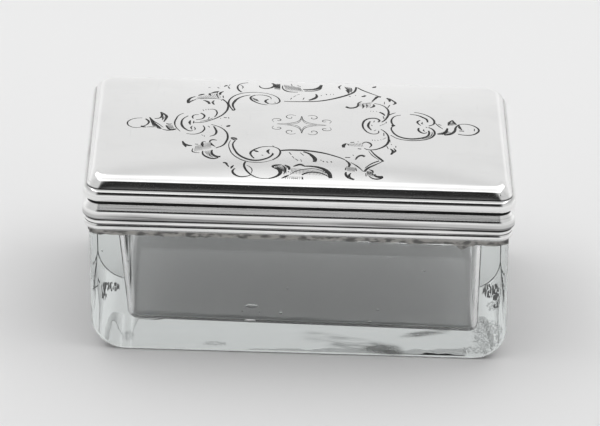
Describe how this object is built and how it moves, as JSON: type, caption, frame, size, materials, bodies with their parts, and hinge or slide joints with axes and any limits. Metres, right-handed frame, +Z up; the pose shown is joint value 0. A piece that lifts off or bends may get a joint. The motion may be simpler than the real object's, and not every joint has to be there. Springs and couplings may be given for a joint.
{
  "type": "glass casket box",
  "caption": "Rectangular glass box with a thick drafted body, a moulded silver collar bedded on its rim and a low domed silver lid on a tube hinge at the back.",
  "frame": {"origin": "on the resting plane, under the middle of the glass", "axes": "+X along the length, +Z up, the front faces -Y and the hinge is at +Y"},
  "size_m": [0.1, 0.0617, 0.0455],
  "materials": {
    "glass": "clear moulded glass with polished faces",
    "plaster": "old grey plaster",
    "silver_lid": "polished silver with engraved scrolls",
    "silver_moulding": "polished silver wire, lightly worn",
    "silver_sheet": "polished silver sheet",
    "silver_hinge": "silver tube, duller than the lid"
  },
  "bodies": {
    "base": {"glass_body": "glass", "plaster_bed": "plaster", "collar_skirt": "silver_sheet", "collar_ledge": "silver_sheet", "collar_bezel": "silver_sheet", "collar_upper_moulding": "silver_moulding", "collar_lower_moulding": "silver_moulding", "collar_hinge_leaf": "silver_hinge", "collar_knuckle_1": "silver_hinge", "collar_knuckle_2": "silver_hinge", "collar_knuckle_3": "silver_hinge", "hinge_pin": "silver_hinge"},
    "lid": {"lid_plate": "silver_lid", "lid_wall": "silver_sheet", "lid_moulding": "silver_moulding", "lid_hinge_leaf": "silver_hinge", "lid_knuckle_1": "silver_hinge", "lid_knuckle_2": "silver_hinge"}
  },
  "joints": [
    {"name": "lid_hinge", "type": "hinge", "parent": "base", "child": "lid", "pos_m": [0, 0.0306, 0.038], "axis": [-1, 0, 0], "range_deg": [0, 105]}
  ]
}
